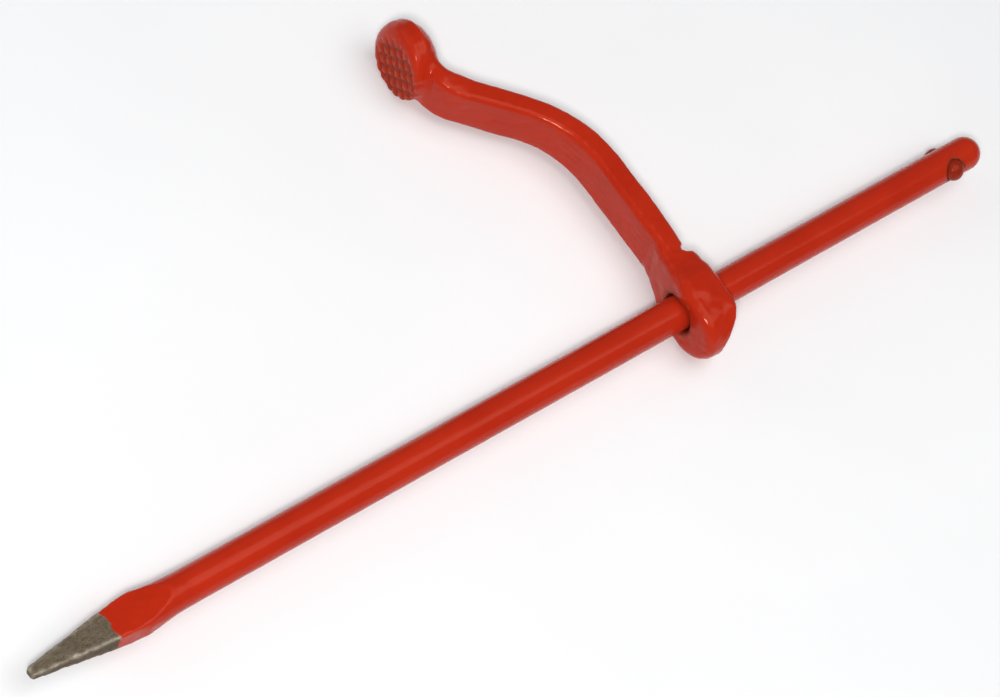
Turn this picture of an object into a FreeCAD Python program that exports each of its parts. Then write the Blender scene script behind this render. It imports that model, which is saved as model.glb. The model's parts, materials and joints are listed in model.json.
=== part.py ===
import FreeCAD, Part
import math
import os

# Mason's sliding wall clamp: a round steel bar with a flattened point, a forged jaw that slides on it,
# and a cross pin that stops the jaw. Millimetres. X runs along the bar from the point to the struck
# head, Y runs from the bar to the jaw's pad, and Z is up. The clamp lies on its side.

# Bar. Every X on the bar is from the tip
BAR_R = 6.0
BAR_LENGTH = 400.0
SWELL_R = 7.3               # the bar swells where its point was forged
SWELL_AT = 41.0
SWELL_END = 57.0            # round and plain from here on
SWELL_SAG = 0.15            # how far the outline sags below a straight taper from the swell to the bar

# Four-sided point: half its width and half its thickness, each at the tip and at the swell
POINT_WIDE = (1.9, 7.0)
POINT_THIN = (1.5, 4.3)
POINT_BLUNT = 0.7           # bevel round the tip
POINT_RUNOUT = 0.8          # sag of the curve by which its flats run out into the round bar
POINT_TURN = -7.0           # degrees about the bar

# Stop pin
PIN_R = 3.8
PIN_LENGTH = 16.8
PIN_DOME = 2.8              # height of the dome on each end
PIN_FROM_HEAD = 15.5
PIN_TURN = 57.0             # degrees from +Z towards -Y

# Jaw. Every X on the jaw is from the eye's front face, and every Y is from the bar's axis
JAW_AT = 260.0              # from the tip to the eye's front face

# Eye
BORE_R = 6.8
BORE_BEVEL = 0.7
EYE_LENGTH = 16.0
EYE_HALF = 12.0             # half its width where it is widest
EYE_WIDEST = -6.6
EYE_SHOULDER = 5.0          # it narrows to the arm above here
EYE_TOP = 17.0
EYE_ROUND = 3.2             # its edges, front and rear
EYE_REAR_TOP = 9.5          # its rear face is flat between these two heights
EYE_REAR_TOP_R = 6.4        # round from its rear face to its top
EYE_REAR_LOW = -5.0
EYE_REAR_UNDER = (12.7, -12.9)  # a point on the curve from its rear face to its bottom
EYE_REAR_BOTTOM = 6.2       # length of the eye along its bottom

# Arm: a flat bar with two bends, and a foot that runs out into the eye
ARM_HALF = 9.0
ARM_FRONT = 5.9
ARM_THICK = 8.0             # between the bends. Below them the arm is thicker
ARM_LOW = 8.0
BEND_Y = 55.5
BEND_R = 40.0
REAR_BEND_R = 52.0
DIAGONAL = (20.8, 24.9)     # straight run between the bends, on the front and on the rear face
NECK_R = (20.5, 9.0)        # the bend up to the pad, on the front and on the rear face
NECK_TOP = 122.0
HEEL_Y = 42.0               # below here the rear face curves in towards the eye
HEEL_R = 260.0
HEEL_SWEEP = -7.5           # degrees
ARM_ROUND = 2.0
FOOT_TOP = 23.0             # from here down the arm's front face runs out to the eye's front face
FOOT_TOE = 1.5
LIP = (13.7, 15.9, 1.9)     # a groove above the eye at the rear: its centre and its radius

# Pad
PAD_X = -29.7
PAD_Y = 123.2
PAD_R = 13.5
PAD_TILT = 5.0              # degrees. Its outer edge leans back, so that it lies flat once the jaw jams
PAD_EDGE = 1.4
PAD_RIM = 5.5               # depth of its straight rim
PAD_BACK = 12.5             # from its face to the top of its domed back
KNURL_PITCH = 3.85
KNURL_DEPTH = 1.0
KNURL_HALF = 0.95           # half the width of a groove at the face
KNURL_TURNS = (45.0, -45.0)

HALF_SQUARE = math.sqrt(0.5)
OVERSHOOT = 1.0             # how far cutting shapes run past what they cut
FLAT = 1e-6

X_AXIS = FreeCAD.Vector(1, 0, 0)
Z_AXIS = FreeCAD.Vector(0, 0, 1)
CENTRE = FreeCAD.Vector(0, 0, 0)

# The part's origin: below the middle of its box, with the lowest point at Z = 0
TILT = math.radians(PAD_TILT)
PAD_TOP = PAD_Y + (PAD_R - PAD_EDGE) * math.cos(TILT) - PAD_EDGE * math.sin(TILT) + PAD_EDGE
ORIGIN = FreeCAD.Vector(BAR_LENGTH / 2, (EYE_WIDEST - EYE_HALF + PAD_TOP) / 2, -PAD_R)


def vec(x, y, z=0.0):
    return FreeCAD.Vector(x, y, z)


def face(start, *steps):
    """A closed flat face. A step is a point, or a pair of points that an arc runs through."""
    edges = []
    here = start
    for step in steps + (start,):
        if isinstance(step, tuple):
            edges.append(Part.Arc(here, step[0], step[1]).toShape())
            here = step[1]
        elif (step - here).Length > FLAT:
            edges.append(Part.LineSegment(here, step).toShape())
            here = step
    return Part.Face(Part.Wire(edges))


def rounded(solid, radius, wanted):
    """The solid with the wanted edges rounded."""
    edges = [edge for edge in solid.Edges if wanted(edge)]
    return solid.makeFillet(radius, edges)


def bar_body():
    """The round bar: square tip end, swell, and hemispherical head."""
    halfway = vec((SWELL_AT + SWELL_END) / 2, (SWELL_R + BAR_R) / 2 - SWELL_SAG)
    head = BAR_LENGTH - BAR_R
    outline = face(
        vec(0, 0), vec(0, SWELL_R), vec(SWELL_AT, SWELL_R), (halfway, vec(SWELL_END, BAR_R)),
        vec(head, BAR_R),
        (vec(head + BAR_R * HALF_SQUARE, BAR_R * HALF_SQUARE), vec(BAR_LENGTH, 0)),
    )
    return outline.revolve(CENTRE, X_AXIS, 360)


def point_wedge(halves):
    """A flat wedge from the tip. Past the swell it curves outwards, clear of the bar."""
    tip, swell = halves
    clear = SWELL_R + OVERSHOOT
    halfway = (SWELL_AT + SWELL_END) / 2
    bulge = (swell + clear) / 2 - POINT_RUNOUT
    end = BAR_LENGTH + OVERSHOOT
    outline = face(
        vec(0, tip - POINT_BLUNT), vec(POINT_BLUNT, tip), vec(SWELL_AT, swell),
        (vec(halfway, bulge), vec(SWELL_END, clear)), vec(end, clear),
        vec(end, -clear), vec(SWELL_END, -clear),
        (vec(halfway, -bulge), vec(SWELL_AT, -swell)), vec(POINT_BLUNT, -tip), vec(0, POINT_BLUNT - tip),
    )
    outline.translate(vec(0, 0, -clear))
    return outline.extrude(vec(0, 0, 2 * clear))


def across_bar(shape):
    """Turns a shape that stands on Z to the stop pin's direction, at the pin's place on the bar."""
    shape.rotate(CENTRE, X_AXIS, PIN_TURN)
    shape.translate(vec(BAR_LENGTH - PIN_FROM_HEAD, 0))
    return shape


def spike_bar():
    wide = point_wedge(POINT_WIDE)
    thin = point_wedge(POINT_THIN)
    thin.rotate(CENTRE, X_AXIS, 90)
    wedge = wide.common(thin)
    wedge.rotate(CENTRE, X_AXIS, POINT_TURN)
    hole = across_bar(Part.makeCylinder(PIN_R, 4 * BAR_R, vec(0, 0, -2 * BAR_R)))
    return bar_body().common(wedge).cut(hole)


def stop_pin():
    """The cross pin, with a dome on each end."""
    crown = PIN_LENGTH / 2
    rim = crown - PIN_DOME
    dome_r = (PIN_R ** 2 + PIN_DOME ** 2) / (2 * PIN_DOME)
    halfway = math.asin(PIN_R / dome_r) / 2
    side = dome_r * math.sin(halfway)
    top = crown - dome_r * (1 - math.cos(halfway))
    outline = face(
        vec(0, 0, -crown), (vec(side, 0, -top), vec(PIN_R, 0, -rim)), vec(PIN_R, 0, rim),
        (vec(side, 0, top), vec(0, 0, crown)),
    )
    return across_bar(outline.revolve(CENTRE, Z_AXIS, 360))


def around(centre, radius, degrees):
    """The point at an angle on a circle."""
    angle = math.radians(degrees)
    return vec(centre.x + radius * math.cos(angle), centre.y + radius * math.sin(angle))


def arm():
    """The flat bar of the arm: up from the eye, over towards the tip, and up again to the pad."""
    uphill = vec(-HALF_SQUARE, HALF_SQUARE)
    rearwards = vec(HALF_SQUARE, HALF_SQUARE)
    front = vec(ARM_FRONT - BEND_R, BEND_Y)
    front_end = around(front, BEND_R, 45)
    rear_end = front_end + rearwards * ARM_THICK
    rear = rear_end - rearwards * REAR_BEND_R
    heel = vec(rear.x + REAR_BEND_R - HEEL_R, HEEL_Y)
    neck_front = front_end + uphill * DIAGONAL[0] + rearwards * NECK_R[0]
    neck_rear = rear_end + uphill * DIAGONAL[1] + rearwards * NECK_R[1]
    outline = face(
        vec(ARM_FRONT, ARM_LOW), vec(ARM_FRONT, BEND_Y), (around(front, BEND_R, 22.5), front_end),
        around(neck_front, NECK_R[0], 225),
        (around(neck_front, NECK_R[0], 202.5), around(neck_front, NECK_R[0], 180)),
        vec(neck_front.x - NECK_R[0], NECK_TOP), vec(neck_rear.x - NECK_R[1], NECK_TOP),
        around(neck_rear, NECK_R[1], 180),
        (around(neck_rear, NECK_R[1], 202.5), around(neck_rear, NECK_R[1], 225)), rear_end,
        (around(rear, REAR_BEND_R, 22.5), around(rear, REAR_BEND_R, 0)), around(heel, HEEL_R, 0),
        (around(heel, HEEL_R, HEEL_SWEEP / 2), around(heel, HEEL_R, HEEL_SWEEP)),
    )
    outline.translate(vec(0, 0, -ARM_HALF))
    bar = outline.extrude(vec(0, 0, 2 * ARM_HALF))
    return rounded(bar, ARM_ROUND, runs_along_side)


def runs_along_side(edge):
    """True for an edge that runs up one of the arm's two sides."""
    box = edge.BoundBox
    return box.ZLength < FLAT and box.YLength > FLAT


def eye_front_view():
    """The eye seen along the bar: a round bottom that narrows to the arm's width at the top."""
    return face(
        vec(0, EYE_WIDEST, EYE_HALF), vec(0, EYE_SHOULDER, EYE_HALF), vec(0, EYE_TOP, ARM_HALF),
        vec(0, FOOT_TOP, ARM_HALF), vec(0, FOOT_TOP, -ARM_HALF),
        vec(0, EYE_TOP, -ARM_HALF), vec(0, EYE_SHOULDER, -EYE_HALF), vec(0, EYE_WIDEST, -EYE_HALF),
        (vec(0, EYE_WIDEST - EYE_HALF), vec(0, EYE_WIDEST, EYE_HALF)),
    )


def eye_side_view():
    """The eye and the arm's foot seen from the side."""
    bottom = EYE_WIDEST - EYE_HALF
    core = ARM_FRONT + ARM_THICK / 2
    rear_top = vec(EYE_LENGTH - EYE_REAR_TOP_R, EYE_REAR_TOP)
    return face(
        vec(0, bottom), vec(0, FOOT_TOE), vec(ARM_FRONT, FOOT_TOP), vec(core, FOOT_TOP), vec(core, EYE_TOP),
        around(rear_top, EYE_REAR_TOP_R, 90),
        (around(rear_top, EYE_REAR_TOP_R, 45), around(rear_top, EYE_REAR_TOP_R, 0)),
        vec(EYE_LENGTH, EYE_REAR_LOW), (vec(*EYE_REAR_UNDER), vec(EYE_REAR_BOTTOM, bottom)),
    )


def eye():
    """The block that runs on the bar, rounded front and back, before it is bored."""
    block = rounded(eye_front_view().extrude(vec(EYE_LENGTH, 0, 0)), EYE_ROUND, on_rear_outline)
    side_view = eye_side_view()
    side_view.translate(vec(0, 0, -EYE_HALF))
    block = block.common(side_view.extrude(vec(0, 0, 2 * EYE_HALF)))
    return rounded(block, EYE_ROUND, on_front_outline)


def on_rear_outline(edge):
    """True for an edge round the rear of the eye, except along its top."""
    box = edge.BoundBox
    return box.XMin > EYE_LENGTH - FLAT and box.YLength > FLAT


def on_front_outline(edge):
    """True for an edge round the front of the eye and up the foot's two sides."""
    box = edge.BoundBox
    return edge.CenterOfMass.x < ARM_FRONT and (box.XLength < FLAT or box.YLength > EYE_ROUND)


def pad():
    """The round pad: flat face, straight rim and domed back."""
    edge = PAD_X + PAD_EDGE
    corner = PAD_EDGE * (1 - HALF_SQUARE)
    rim = PAD_X + PAD_RIM
    back = PAD_X + PAD_BACK
    outline = face(
        vec(PAD_X, 0), vec(PAD_X, PAD_R - PAD_EDGE), (vec(PAD_X + corner, PAD_R - corner), vec(edge, PAD_R)),
        vec(rim, PAD_R), (vec(rim + (back - rim) * HALF_SQUARE, PAD_R * HALF_SQUARE), vec(back, 0)),
    )
    disc = outline.revolve(CENTRE, X_AXIS, 360)
    for turn in KNURL_TURNS:
        disc = disc.cut(knurl_grooves(turn))
    disc.rotate(vec(PAD_X, 0), Z_AXIS, -PAD_TILT)
    disc.translate(vec(0, PAD_Y))
    return disc


def knurl_grooves(turn):
    """A row of V grooves across the pad's face, turned about its centre, where a diamond is."""
    opening = KNURL_HALF * (1 + OVERSHOOT / KNURL_DEPTH)
    bottom = PAD_X + KNURL_DEPTH
    mouth = PAD_X - OVERSHOOT
    each_side = int(PAD_R / KNURL_PITCH)
    grooves = []
    for index in range(-each_side, each_side):
        at = (index + 0.5) * KNURL_PITCH
        groove = face(vec(bottom, at), vec(mouth, at - opening), vec(mouth, at + opening))
        groove.translate(vec(0, 0, -2 * PAD_R))
        grooves.append(groove.extrude(vec(0, 0, 4 * PAD_R)))
    row = Part.makeCompound(grooves)
    row.rotate(CENTRE, X_AXIS, turn)
    return row


def bore():
    """The hole through the eye, bevelled at both mouths."""
    mouth = BORE_R + BORE_BEVEL + OVERSHOOT
    outline = face(
        vec(-OVERSHOOT, 0), vec(-OVERSHOOT, mouth), vec(BORE_BEVEL, BORE_R),
        vec(EYE_LENGTH - BORE_BEVEL, BORE_R), vec(EYE_LENGTH + OVERSHOOT, mouth),
        vec(EYE_LENGTH + OVERSHOOT, 0),
    )
    return outline.revolve(CENTRE, X_AXIS, 360)


def sliding_jaw():
    """One forging: eye, foot, arm and pad."""
    forging = eye().fuse([arm(), pad()]).removeSplitter()
    x, y, radius = LIP
    groove = Part.makeCylinder(radius, 4 * ARM_HALF, vec(x, y, -2 * ARM_HALF))
    jaw = forging.cut(groove).cut(bore())
    jaw.translate(vec(JAW_AT, 0))
    return jaw


def write(name, shape):
    solid = shape.Solids[0]
    solid.translate(-ORIGIN)
    solid.exportStep("parts/" + name + ".step")
    print(name, "solids", len(shape.Solids), "valid", solid.isValid(), "volume", round(solid.Volume))


os.makedirs("parts", exist_ok=True)
write("spike_bar", spike_bar())
write("stop_pin", stop_pin())
write("sliding_jaw", sliding_jaw())
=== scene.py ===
import json
import math

import bmesh
import bpy
import numpy as np
from mathutils import Matrix, Vector


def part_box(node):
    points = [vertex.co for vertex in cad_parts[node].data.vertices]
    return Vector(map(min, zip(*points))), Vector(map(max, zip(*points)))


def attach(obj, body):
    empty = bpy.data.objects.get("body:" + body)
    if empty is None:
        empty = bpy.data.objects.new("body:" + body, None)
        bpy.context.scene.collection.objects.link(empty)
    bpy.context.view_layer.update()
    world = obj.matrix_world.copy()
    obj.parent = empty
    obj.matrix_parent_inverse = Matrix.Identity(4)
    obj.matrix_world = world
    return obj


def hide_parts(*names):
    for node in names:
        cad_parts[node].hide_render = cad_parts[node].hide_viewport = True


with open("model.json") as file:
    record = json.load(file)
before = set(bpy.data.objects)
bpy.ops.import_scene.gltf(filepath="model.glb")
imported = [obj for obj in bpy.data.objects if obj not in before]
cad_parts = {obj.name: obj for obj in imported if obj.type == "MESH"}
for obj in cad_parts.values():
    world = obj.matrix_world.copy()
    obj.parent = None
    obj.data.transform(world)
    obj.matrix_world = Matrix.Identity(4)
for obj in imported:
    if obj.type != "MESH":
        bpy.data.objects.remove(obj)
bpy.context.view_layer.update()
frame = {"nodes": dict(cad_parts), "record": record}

# Mason's sliding wall clamp, in the CAD model's frame and in metres. Each CAD node is replaced by a
# fine mesh of the same piece, with the softened edges and uneven surfaces of a painted forging.

MM = 0.001
WELD = 1e-6
SEED = 11
WAVE_COUNT = 24

# Spacing of the fine meshes' points
BAR_VOXEL = 0.5 * MM
PIN_VOXEL = 0.22 * MM
JAW_VOXEL = 0.42 * MM

# How far a point stands out from its neighbours on an edge that is fully worn
BAR_WORN = 0.05 * MM
PIN_WORN = 0.03 * MM
JAW_WORN = 0.05 * MM

# Places on the clamp, from the record's mounts, and sizes that match the CAD
MOUNTS = {mount["name"]: mount for mount in frame["record"]["mounts"]}
TIP = Vector(MOUNTS["driven_point"]["pos_m"])
PAD_FACE = Vector(MOUNTS["pad_face"]["pos_m"])
PAD_OUT = Vector(MOUNTS["pad_face"]["axis"])
PAD_ALONG = PAD_OUT.cross(Vector((0, 0, 1)))    # along the face, away from the bar
BORE_R = 6.8 * MM
PIN_R = 3.8 * MM
PAINT_FROM = 29.5 * MM      # the point is bare steel up to here from the tip
FORGED_TO = (50 * MM, 62 * MM)      # the point's hammer marks fade out between these

# The pad. The flat part of its face is a smaller circle, off centre. From there the face rolls back
# into the rim on the upper side, and the knurl fades out.
PAD_R = 13.5 * MM
PAD_EDGE = 1.4 * MM
PAD_DEPTH = 12.5 * MM
FLAT_R = 10.4 * MM
FLAT_OFF = 2.8 * MM
ROLL_R = 6.6 * MM
KNURL_PITCH = 3.85 * MM
GROOVES_TO = 1.2 * MM       # every groove is shallower than this
GROOVE_DEEPEN = 0.3         # share by which the grooves are deeper than in the CAD
NOTCH = 0.9 * MM            # how far a groove cuts into the rim
NOTCH_WIDTH = 0.8 * MM
FULLER = 1.2 * MM           # how far the domed back swells on the upper side
PAD_MARGIN = 1 * MM         # the pad's rough surface stays within this of its rim

# The fold beside the arm where it meets the pad's back: along the face, across it, and behind it
FOLD = (-8 * MM, 9 * MM, 9 * MM)
FOLD_SIZE = 6 * MM

# The eye. Its flat sides swell beside the bore, and a shallow crease runs across them from the notch.
EYE_MIDDLE = Vector((68 * MM, TIP.y + 2 * MM, TIP.z))
EYE_SIDE = 7 * MM
EYE_SWELL = 1.0 * MM
EYE_SPREAD = (7 * MM, 8 * MM)
CREASE = (Vector((74 * MM, TIP.y + 14.5 * MM, 0)), Vector((60 * MM, TIP.y + 10 * MM, 0)))
CREASE_DEPTH = 0.22 * MM
CREASE_WIDTH = 1.3 * MM


# ---------------------------------------------------------------------------------------------
# Meshes
# ---------------------------------------------------------------------------------------------

def fine_copy(name, node, voxel, soften):
    """An even fine mesh of a CAD node, with its sharp edges softened."""
    mesh = frame["nodes"][node].data.copy()
    shape = bmesh.new()
    shape.from_mesh(mesh)
    bmesh.ops.remove_doubles(shape, verts=shape.verts, dist=WELD)
    shape.to_mesh(mesh)
    shape.free()
    piece = bpy.data.objects.new(name, mesh)
    bpy.context.scene.collection.objects.link(piece)
    remesh = piece.modifiers.new("fine", "REMESH")
    remesh.mode = "VOXEL"
    remesh.voxel_size = voxel
    smooth = piece.modifiers.new("soften", "SMOOTH")
    smooth.iterations = soften
    graph = bpy.context.evaluated_depsgraph_get()
    graph.update()
    piece.data = bpy.data.meshes.new_from_object(piece.evaluated_get(graph))
    piece.modifiers.clear()
    piece.data.shade_smooth()
    piece.data.materials.clear()
    return piece


def points_of(piece):
    """The piece's points, one row each."""
    points = np.zeros(len(piece.data.vertices) * 3)
    piece.data.vertices.foreach_get("co", points)
    return points.reshape(-1, 3)


def normals_of(piece):
    """The outward direction at each of the piece's points."""
    normals = np.zeros(len(piece.data.vertices) * 3)
    piece.data.vertices.foreach_get("normal", normals)
    return normals.reshape(-1, 3)


def move_points(piece, points):
    piece.data.vertices.foreach_set("co", points.ravel())
    piece.data.update()


def waves(points, length, seed=SEED):
    """Smooth random hills and hollows of about one wavelength, mostly between -1 and 1."""
    rng = np.random.default_rng(seed)
    ways = rng.normal(size=(WAVE_COUNT, 3))
    ways /= np.linalg.norm(ways, axis=1)[:, None]
    lengths = length * rng.uniform(0.7, 1.5, WAVE_COUNT)
    starts = rng.uniform(0, 2 * math.pi, WAVE_COUNT)
    phases = points @ (2 * math.pi * ways / lengths[:, None]).T + starts
    return np.sin(phases).sum(axis=1) / math.sqrt(WAVE_COUNT)


def step(values, low, high):
    """0 below low, 1 above high, and smooth between them."""
    part = np.clip((values - low) / (high - low), 0, 1)
    return part * part * (3 - 2 * part)


def neighbour_mean(piece):
    """A function that averages each point's neighbours."""
    ends = np.zeros(len(piece.data.edges) * 2, dtype=np.int64)
    piece.data.edges.foreach_get("vertices", ends)
    a, b = ends.reshape(-1, 2).T
    count = len(piece.data.vertices)
    degree = np.bincount(a, minlength=count) + np.bincount(b, minlength=count)

    def column_mean(column):
        total = np.bincount(a, weights=column[b], minlength=count)
        return (total + np.bincount(b, weights=column[a], minlength=count)) / degree

    def mean(values):
        return np.apply_along_axis(column_mean, 0, values)

    return mean


def edge_sharpness(piece, rounds=3):
    """How far each point stands out from its neighbours: above 0 on edges, below 0 in hollows."""
    mean = neighbour_mean(piece)
    points, normals = points_of(piece), normals_of(piece)
    sharp = ((points - mean(points)) * normals).sum(axis=1)
    for _ in range(rounds):
        sharp = (sharp + mean(sharp)) / 2
    return sharp


def relax(piece, share, rounds, swell_back=1.03):
    """Smooths the points, each by its own share. Swelling back keeps the piece from shrinking."""
    mean = neighbour_mean(piece)
    points = points_of(piece)
    for _ in range(rounds):
        for way in (1.0, -swell_back):
            points += (mean(points) - points) * (share * way)[:, None]
    move_points(piece, points)


def fill_creases(piece, share, rounds):
    """Rounds out inner corners, and leaves everything that bulges as it is."""
    mean = neighbour_mean(piece)
    points, normals = points_of(piece), normals_of(piece)
    for _ in range(rounds):
        hollow = ((mean(points) - points) * normals).sum(axis=1)
        points += normals * (np.maximum(hollow, 0) * share)[:, None]
    move_points(piece, points)


def paint_mask(piece, name, values):
    """Stores one number for each point, for a material to read."""
    layer = piece.data.attributes.new(name, "FLOAT", "POINT")
    layer.data.foreach_set("value", np.clip(values, 0, 1).astype(np.float32))


def from_bar_axis(points):
    """Distance from the bar's middle line."""
    return np.hypot(points[:, 1] - TIP.y, points[:, 2] - TIP.z)


def make_bar():
    """The bar: nearly smooth, hammered at its point, with dirt and painted shade round the pin, and
    painted shade on the point's sideways faces.
    """
    bar = fine_copy("bar", "spike_bar", BAR_VOXEL, 3)
    points, normals = points_of(bar), normals_of(bar)
    along = points[:, 0] - TIP.x
    forged = 1 - step(along, *FORGED_TO)
    uneven = 0.030 * waves(points, 34 * MM) + 0.012 * waves(points, 7 * MM)
    hammered = 0.10 * waves(points, 11 * MM, seed=SEED + 1) + 0.04 * waves(points, 4 * MM)
    lift = (uneven + forged * hammered) * MM
    move_points(bar, points + normals * lift[:, None])
    paint_mask(bar, "edge", edge_sharpness(bar) / BAR_WORN)
    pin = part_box("stop_pin")
    centre = (pin[0] + pin[1]) / 2
    # Dirt and painted shade in a ring round the foot of the pin
    by_pin = 1 - step(from_pin_wall(points, centre), 0.1 * MM, 1.6 * MM)
    # Painted shade on the bare point: darker where its faces look sideways rather than up or down
    tip_sides = (1 - step(np.abs(normals[:, 2]), 0.45, 0.8)) * (along < PAINT_FROM)
    paint_mask(bar, "dirt_and_shade", np.maximum(by_pin, tip_sides))
    return bar


def pin_direction():
    """The stop pin's axis, from the spread of its points."""
    points = points_of(frame["nodes"]["stop_pin"])
    centred = points - (points.min(axis=0) + points.max(axis=0)) / 2
    values, vectors = np.linalg.eigh(centred.T @ centred)
    return vectors[:, np.argmax(values)]


def from_pin_wall(points, centre):
    """Distance from the pin's wall: below 0 inside it."""
    away = points - np.array(centre)
    along = away @ pin_direction()
    return np.sqrt(np.maximum((away ** 2).sum(axis=1) - along ** 2, 0)) - PIN_R


def make_pin():
    """The stop pin, a little lumpy, and darkened all over in patches."""
    pin = fine_copy("pin", "stop_pin", PIN_VOXEL, 3)
    points, normals = points_of(pin), normals_of(pin)
    lift = 0.05 * MM * waves(points, 3.2 * MM, seed=SEED + 2)
    move_points(pin, points + normals * lift[:, None])
    paint_mask(pin, "edge", edge_sharpness(pin) / PIN_WORN)
    # Darkens the whole pin by a patchy share
    paint_mask(pin, "dirt_and_shade", 0.35 + 0.3 * waves(points, 2.5 * MM, seed=SEED + 3))
    return pin


def pad_places(points):
    """Each point's depth behind the pad's face, and how far along and across the face it is."""
    away = points - np.array(PAD_FACE)
    return -away @ np.array(PAD_OUT), away @ np.array(PAD_ALONG), away[:, 2]


def beyond_flat(along, across):
    """Distance from the edge of the face's flat part: below 0 within it."""
    shift = FLAT_OFF / math.sqrt(2)
    return np.hypot(along + shift, across + shift) - FLAT_R


def roll_pad_face(jaw):
    """Rolls the pad's face back outside its flat, and shapes the knurl."""
    points = points_of(jaw)
    depth, along, across = pad_places(points)
    radius, past_flat = np.hypot(along, across), beyond_flat(along, across)
    into_edge = np.clip(radius - (PAD_R - PAD_EDGE), 0, PAD_EDGE)
    plain = PAD_EDGE - np.sqrt(PAD_EDGE ** 2 - into_edge ** 2)
    in_groove = (depth < GROOVES_TO) & (radius < PAD_R) & (depth > plain)
    fade = step(past_flat, -1.5 * MM, 2.5 * MM)
    lift = in_groove * (depth - plain) * (fade - GROOVE_DEEPEN * (1 - fade))
    bend = np.clip(past_flat, 0, 0.9 * ROLL_R)
    roll = (ROLL_R - np.sqrt(ROLL_R ** 2 - bend ** 2)) * (1 - step(depth, 0, PAD_DEPTH))
    near = radius < PAD_R + 2 * MM
    move_points(jaw, points + np.array(PAD_OUT) * ((lift - roll) * near)[:, None])


def from_groove(across):
    """Distance from the nearest groove of a row, from the distance across the row."""
    turns = across / KNURL_PITCH - 0.5
    return np.abs(turns - np.round(turns)) * KNURL_PITCH


def notch_rim(jaw):
    """Cuts the grooves' ends into the rim, where the flat face reaches it."""
    points = points_of(jaw)
    depth, along, across = pad_places(points)
    radius, past_flat = np.hypot(along, across), beyond_flat(along, across)
    rows = ((along + across) / math.sqrt(2), (along - across) / math.sqrt(2))
    cuts = [
        np.exp(-(from_groove(row) / NOTCH_WIDTH) ** 2) * (other / np.maximum(radius, MM)) ** 2
        for row, other in (rows, rows[::-1])
    ]
    low_side = 1 - step(past_flat, 1.0 * MM, 3.5 * MM)
    cut = np.maximum(*cuts) * low_side * step(radius, 10.5 * MM, 12.5 * MM)
    cut = cut * (1 - step(depth, GROOVES_TO, 5 * MM)) * (radius < PAD_R + PAD_MARGIN)
    outward = points - np.array(PAD_FACE) + depth[:, None] * np.array(PAD_OUT)
    outward /= np.maximum(radius, MM)[:, None]
    move_points(jaw, points - outward * (NOTCH * cut)[:, None])


def swell_pad_back(jaw):
    """Fills out the pad's domed back on its upper side, short of the pad's far end."""
    points, normals = points_of(jaw), normals_of(jaw)
    depth, along, across = pad_places(points)
    share = step(depth, 5 * MM, 9 * MM) * (1 - step(depth, 15 * MM, 22 * MM))
    share *= step(across, -2 * MM, 8 * MM)
    share *= step(along, -22 * MM, -12 * MM) * (1 - step(along, 3 * MM, 11 * MM))
    move_points(jaw, points + normals * (FULLER * share)[:, None])


def shape_eye(jaw):
    """Swells the eye's flat sides beside the bore, and presses the crease into them."""
    points = points_of(jaw)
    side = points[:, 2] - TIP.z
    on_side = np.sign(side) * step(np.abs(side), EYE_SIDE, EYE_SIDE + 4 * MM)
    away = points - np.array(EYE_MIDDLE)
    swell = np.exp(-(away[:, 0] / EYE_SPREAD[0]) ** 2 - (away[:, 1] / EYE_SPREAD[1]) ** 2)
    start, end = (np.array(place)[:2] for place in CREASE)
    line = (end - start) / np.linalg.norm(end - start)
    offset = points[:, :2] - start
    off_line = offset[:, 0] * line[1] - offset[:, 1] * line[0]
    along = offset @ line
    crease = np.exp(-(off_line / CREASE_WIDTH) ** 2) * (along > -3 * MM) * (along < 18 * MM)
    points[:, 2] += on_side * (EYE_SWELL * swell - CREASE_DEPTH * crease)
    move_points(jaw, points)


def smooth_neck(jaw):
    """Fills the corner where the arm meets the pad, and softens the fold beside it and the knurl."""
    depth, along, across = pad_places(points_of(jaw))
    radius = np.hypot(along, across)
    neck = step(depth, 3.0 * MM, 5.5 * MM) * (1 - step(depth, 24 * MM, 30 * MM)) * (radius < 40 * MM)
    fill_creases(jaw, 0.9 * neck, 160)
    relax(jaw, 0.5 * neck * (radius < PAD_R + 4 * MM), 20)
    fold = (along - FOLD[0]) ** 2 + (np.abs(across) - FOLD[1]) ** 2 + (depth - FOLD[2]) ** 2
    relax(jaw, 0.6 * np.exp(-(fold / FOLD_SIZE ** 2) ** 2), 50, swell_back=0)
    knurl = (1 - step(depth, 1.5 * MM, 3.0 * MM)) * (radius < PAD_R + PAD_MARGIN)
    relax(jaw, 0.45 * knurl, 3)


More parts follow.
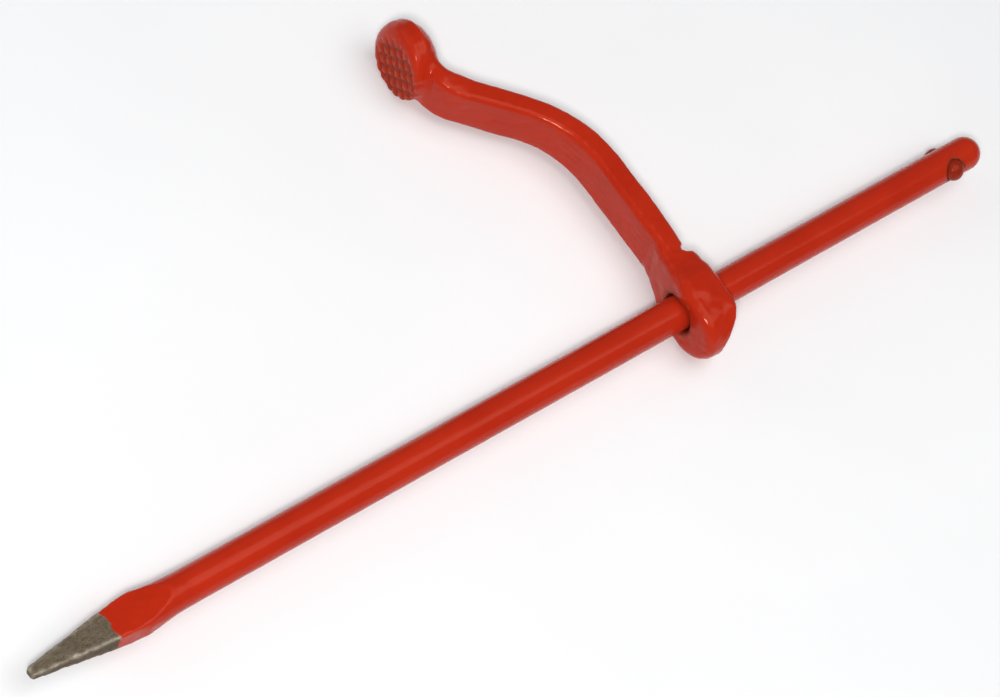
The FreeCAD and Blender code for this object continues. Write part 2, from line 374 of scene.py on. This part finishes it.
def make_jaw():
    """The jaw: lumpy as forged, smoother on the pad's face, with dirt and painted shade in and round its
    bore and in its knurl.
    """
    jaw = fine_copy("jaw", "sliding_jaw", JAW_VOXEL, 2)
    roll_pad_face(jaw)
    notch_rim(jaw)
    swell_pad_back(jaw)
    shape_eye(jaw)
    smooth_neck(jaw)

    points, normals = points_of(jaw), normals_of(jaw)
    depth, along, across = pad_places(points)
    radius, past_flat = np.hypot(along, across), beyond_flat(along, across)
    plain = step(depth, GROOVES_TO, 3.0 * MM)
    near_eye = 1 - step(np.linalg.norm(points - np.array(EYE_MIDDLE), axis=1), 15 * MM, 24 * MM)
    uneven = 0.13 * waves(points, 26 * MM, seed=SEED + 4) + 0.05 * waves(points, 8 * MM, seed=SEED + 5)
    lumps = 0.035 * waves(points, 3.2 * MM, seed=SEED + 6) + 0.10 * near_eye * waves(points, 6 * MM)
    lift = ((uneven + lumps) * plain + 0.03 * waves(points, 2.2 * MM) * (1 - plain)) * MM
    move_points(jaw, points + normals * lift[:, None])
    paint_mask(jaw, "edge", edge_sharpness(jaw) / JAW_WORN)
    # Dirt and painted shade in and round the bore, where the bar goes through
    near_bore = 1 - step(from_bar_axis(points), BORE_R + 0.2 * MM, BORE_R + 2.6 * MM)
    on_face = (1 - step(depth, 1.4 * MM, 2.4 * MM)) * (radius < PAD_R + PAD_MARGIN)
    on_face *= 1 - step(past_flat, -1.0 * MM, 3.0 * MM)
    # Dirt and painted shade in the knurl, darker deeper in the grooves
    grooves = on_face * (0.4 + 0.3 * step(depth, 0.15 * MM, 0.9 * MM))
    paint_mask(jaw, "dirt_and_shade", np.maximum(near_bore, grooves))
    return jaw


# ---------------------------------------------------------------------------------------------
# Materials
# ---------------------------------------------------------------------------------------------

# Paint: each red has a deep and a bright shade
RED = ((0.435, 0.0180, 0.0045), (0.490, 0.0235, 0.0060))
DARK_RED = ((0.24, 0.012, 0.004), (0.31, 0.016, 0.005))
WORN_RED = (0.62, 0.060, 0.030)
# Brown of dirt, which also stands in for painted shade round the bore, in the knurl and round the pin
GRIME_AND_SHADE = (0.13, 0.024, 0.008)
GLOSS = 0.24
GLOSS_TINT = (1.0, 0.55, 0.40)
PEEL_SIZE = 2.4 * MM        # the paint's orange peel
PEEL_DEPTH = 0.035 * MM

# Bare forged steel
SCALE = ((0.095, 0.072, 0.044), (0.20, 0.165, 0.115))
SPECKS = (0.065, 0.050, 0.032)
# Dark steel for the painted shade on the bare point's sideways faces
STEEL_SHADE = (0.045, 0.037, 0.026)
BRIGHT_STEEL = (0.50, 0.45, 0.36)
STEEL_METALLIC = 0.3
PIT_DEPTH = 0.05 * MM
PAINT_FILM = 0.08 * MM      # how far the paint stands above the steel

FLOOR = ((0.91, 0.91, 0.91), (0.94, 0.94, 0.94))

# A Mix node's two colour inputs and its colour output
MIX_COLOURS = (6, 7)
MIX_RESULT = 2


class Shader:
    """A node material with one Principled surface."""

    def __init__(self, name):
        self.material = bpy.data.materials.new(name)
        self.material.use_nodes = True
        self.tree = self.material.node_tree
        self.surface = self.tree.nodes["Principled BSDF"]
        self.place = self.node("ShaderNodeTexCoord").outputs["Object"]

    def node(self, kind):
        return self.tree.nodes.new(kind)

    def link(self, source, socket):
        self.tree.links.new(source, socket)

    def feed(self, socket, value):
        """Links another node's output to the socket, or sets it to a constant."""
        if isinstance(value, bpy.types.NodeSocket):
            self.link(value, socket)
        else:
            socket.default_value = value

    def noise(self, size, detail=3.0, rough=0.5, stretch=(1, 1, 1)):
        """Noise whose features are about the given size in metres."""
        mapping = self.node("ShaderNodeMapping")
        mapping.inputs["Scale"].default_value = stretch
        self.link(self.place, mapping.inputs["Vector"])
        noise = self.node("ShaderNodeTexNoise")
        noise.inputs["Scale"].default_value = 1 / size
        noise.inputs["Detail"].default_value = detail
        noise.inputs["Roughness"].default_value = rough
        self.link(mapping.outputs["Vector"], noise.inputs["Vector"])
        return noise.outputs["Fac"]

    def mask(self, name):
        """A number that is stored at each of the mesh's points."""
        layer = self.node("ShaderNodeAttribute")
        layer.attribute_name = name
        return layer.outputs["Fac"]

    def math(self, operation, *values):
        node = self.node("ShaderNodeMath")
        node.operation = operation
        for socket, value in zip(node.inputs, values):
            self.feed(socket, value)
        return node.outputs["Value"]

    def spread(self, value, low, high, to_low=0.0, to_high=1.0):
        """Stretches the range from low to high over the range from to_low to to_high."""
        node = self.node("ShaderNodeMapRange")
        numbers = {"From Min": low, "From Max": high, "To Min": to_low, "To Max": to_high}
        for socket, number in numbers.items():
            node.inputs[socket].default_value = number
        self.link(value, node.inputs["Value"])
        return node.outputs["Result"]

    def mix(self, share, first, second):
        """Blends two colours."""
        node = self.node("ShaderNodeMix")
        node.data_type = "RGBA"
        self.feed(node.inputs["Factor"], share)
        for place, colour in zip(MIX_COLOURS, (first, second)):
            self.feed(node.inputs[place], (*colour, 1) if isinstance(colour, tuple) else colour)
        return node.outputs[MIX_RESULT]

    def bump(self, height, depth, below=None):
        """Small relief, over another relief where one is given."""
        node = self.node("ShaderNodeBump")
        node.inputs["Distance"].default_value = depth
        self.link(height, node.inputs["Height"])
        if below is not None:
            self.link(below, node.inputs["Normal"])
        return node.outputs["Normal"]


def paint_colour(shader, deep, bright, dirt_and_shade):
    """Red paint: cloudy, a little streaky, paler on edges, and brown where the dirt and painted shade mask
    is high.
    """
    cloud = shader.spread(shader.noise(18 * MM), 0.3, 0.7)
    colour = shader.mix(cloud, deep, bright)
    streak = shader.spread(shader.noise(5 * MM, stretch=(0.25, 1, 1)), 0.35, 0.75, 0.0, 0.35)
    colour = shader.mix(streak, colour, tuple(0.8 * c for c in bright))
    edge = shader.math("MULTIPLY", shader.mask("edge"), 0.22)
    colour = shader.mix(edge, colour, WORN_RED)
    # Patchy share of brown grime and painted shade, where the dirt and shade mask is high
    dirt_and_shade_patches = shader.spread(shader.noise(1.5 * MM, detail=4.0), 0.25, 0.7, 0.45, 1.0)
    return shader.mix(shader.math("MULTIPLY", shader.mask("dirt_and_shade"), dirt_and_shade_patches), colour, dirt_and_shade)


def set_gloss(shader):
    """Gloss of the paint: a thin film with a warm, weak reflection."""
    shader.surface.inputs["Specular IOR Level"].default_value = GLOSS
    shader.surface.inputs["Specular Tint"].default_value = (*GLOSS_TINT, 1)


def paint_roughness(shader):
    """The paint shines unevenly, and less where the dirt and painted shade mask is high."""
    rough = shader.spread(shader.noise(3 * MM, detail=4.0), 0.3, 0.7, 0.14, 0.24)
    return shader.math("ADD", rough, shader.math("MULTIPLY", shader.mask("dirt_and_shade"), 0.3))


def orange_peel(shader):
    return shader.bump(shader.noise(PEEL_SIZE, detail=1.0), PEEL_DEPTH)


def paint_material(name, deep, bright, dirt_and_shade):
    shader = Shader(name)
    set_gloss(shader)
    shader.feed(shader.surface.inputs["Base Color"], paint_colour(shader, deep, bright, dirt_and_shade))
    shader.feed(shader.surface.inputs["Roughness"], paint_roughness(shader))
    shader.feed(shader.surface.inputs["Normal"], orange_peel(shader))
    return shader.material


def bar_material():
    """Paint over the bar, and bare forged steel at its point."""
    shader = Shader("painted_bar")
    set_gloss(shader)
    parts = shader.node("ShaderNodeSeparateXYZ")
    shader.link(shader.place, parts.inputs["Vector"])
    wander = shader.spread(shader.noise(3.5 * MM, detail=2.0), 0.25, 0.75, -0.8 * MM, 0.8 * MM)
    ahead = shader.math("SUBTRACT", parts.outputs["X"], TIP.x + PAINT_FROM)
    ahead = shader.math("ADD", ahead, wander)
    painted = shader.spread(ahead, -0.3 * MM, 0.3 * MM)

    paint = paint_colour(shader, *RED, GRIME_AND_SHADE)
    scale = shader.spread(shader.noise(1.0 * MM, detail=5.0, rough=0.7, stretch=(0.5, 1, 1)), 0.3, 0.7)
    steel = shader.mix(scale, *SCALE)
    specks = shader.spread(shader.noise(0.45 * MM, detail=3.0, rough=0.7), 0.52, 0.66)
    steel = shader.mix(specks, steel, SPECKS)
    # Painted shade on the bare point's sideways faces, carried by the dirt and shade mask
    steel = shader.mix(shader.math("MULTIPLY", shader.mask("dirt_and_shade"), 0.6), steel, STEEL_SHADE)
    patches = shader.spread(shader.noise(2.2 * MM, detail=4.0, rough=0.6), 0.35, 0.65, 0.15, 0.85)
    steel = shader.mix(shader.math("MULTIPLY", shader.mask("edge"), patches), steel, BRIGHT_STEEL)
    shader.feed(shader.surface.inputs["Base Color"], shader.mix(painted, steel, paint))

    paint_rough = paint_roughness(shader)
    steel_rough = shader.spread(shader.noise(0.8 * MM, detail=4.0), 0.3, 0.7, 0.42, 0.62)
    difference = shader.math("SUBTRACT", paint_rough, steel_rough)
    rough = shader.math("MULTIPLY_ADD", difference, painted, steel_rough)
    shader.feed(shader.surface.inputs["Roughness"], rough)
    metallic = shader.math("MULTIPLY_ADD", painted, -STEEL_METALLIC, STEEL_METALLIC)
    shader.feed(shader.surface.inputs["Metallic"], metallic)

    peel = orange_peel(shader)
    bare = shader.math("SUBTRACT", 1.0, painted)
    pits = shader.math("MULTIPLY", shader.noise(0.8 * MM, detail=4.0, rough=0.7), bare)
    pitted = shader.bump(pits, PIT_DEPTH, peel)
    film = shader.bump(painted, PAINT_FILM, pitted)
    shader.feed(shader.surface.inputs["Normal"], film)
    return shader.material


def floor_material():
    shader = Shader("floor")
    tone = shader.spread(shader.noise(120 * MM), 0.3, 0.7)
    shader.feed(shader.surface.inputs["Base Color"], shader.mix(tone, *FLOOR))
    shader.surface.inputs["Roughness"].default_value = 0.9
    shader.surface.inputs["Specular IOR Level"].default_value = 0.1
    return shader.material


# ---------------------------------------------------------------------------------------------
# Pieces
# ---------------------------------------------------------------------------------------------

def fit(piece, node, body, material):
    """Puts a finished piece in the place of its CAD node."""
    piece.data.materials.append(material)
    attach(piece, body)
    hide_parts(node)


jaw_paint = paint_material("painted_jaw", *RED, GRIME_AND_SHADE)
pin_paint = paint_material("painted_pin", *DARK_RED, GRIME_AND_SHADE)
fit(make_bar(), "spike_bar", "spike", bar_material())
fit(make_pin(), "stop_pin", "spike", pin_paint)
fit(make_jaw(), "sliding_jaw", "jaw", jaw_paint)


# ---------------------------------------------------------------------------------------------
# Floor, lights and camera
# ---------------------------------------------------------------------------------------------

FLOOR_HALF = 4.0
SKY = (0.93, 0.95, 1.0)
SKY_STRENGTH = 0.21
CAMERA_AT = Vector((-0.63019, -0.34460, 1.11249))
CAMERA_AZIMUTH = -64.17
CAMERA_ELEVATION = 57.57
CAMERA_ROLL = 31.47
CAMERA_LENS = 144.15

corners = [(x, y, 0) for x, y in ((-1, -1), (1, -1), (1, 1), (-1, 1))]
floor_mesh = bpy.data.meshes.new("floor")
floor_mesh.from_pydata([Vector(corner) * FLOOR_HALF for corner in corners], [], [(0, 1, 2, 3)])
floor_mesh.materials.append(floor_material())
floor = bpy.data.objects.new("floor", floor_mesh)
bpy.context.scene.collection.objects.link(floor)


def turned(azimuth, elevation, roll=0.0):
    """The turn of a camera or light that looks at the object from a direction, all in degrees."""
    turn = Matrix.Rotation(math.radians(azimuth), 4, "Z")
    turn = turn @ Matrix.Rotation(math.radians(90 - elevation), 4, "X")
    return turn @ Matrix.Rotation(math.radians(roll), 4, "Z")


def softbox(name, azimuth, elevation, distance, size, power):
    """A square light that faces the clamp."""
    data = bpy.data.lights.new(name, "AREA")
    data.size = size
    data.energy = power
    light = bpy.data.objects.new(name, data)
    light.matrix_world = turned(azimuth, elevation) @ Matrix.Translation((0, 0, distance))
    bpy.context.scene.collection.objects.link(light)


softbox("key", azimuth=-60, elevation=54, distance=1.7, size=0.22, power=16)
softbox("top", azimuth=30, elevation=72, distance=2.0, size=1.6, power=18)
softbox("side", azimuth=-150, elevation=35, distance=2.0, size=1.2, power=2.5)

world = bpy.data.worlds.new("studio")
world.use_nodes = True
world.node_tree.nodes["Background"].inputs["Color"].default_value = (*SKY, 1)
world.node_tree.nodes["Background"].inputs["Strength"].default_value = SKY_STRENGTH
bpy.context.scene.world = world
bpy.context.scene.view_settings.view_transform = "Standard"

camera_data = bpy.data.cameras.new("camera")
camera_data.lens = CAMERA_LENS
camera_data.clip_start = 0.05
camera = bpy.data.objects.new("camera", camera_data)
camera.matrix_world = Matrix.Translation(CAMERA_AT) @ turned(CAMERA_AZIMUTH, CAMERA_ELEVATION, CAMERA_ROLL)
bpy.context.scene.collection.objects.link(camera)
bpy.context.scene.camera = camera
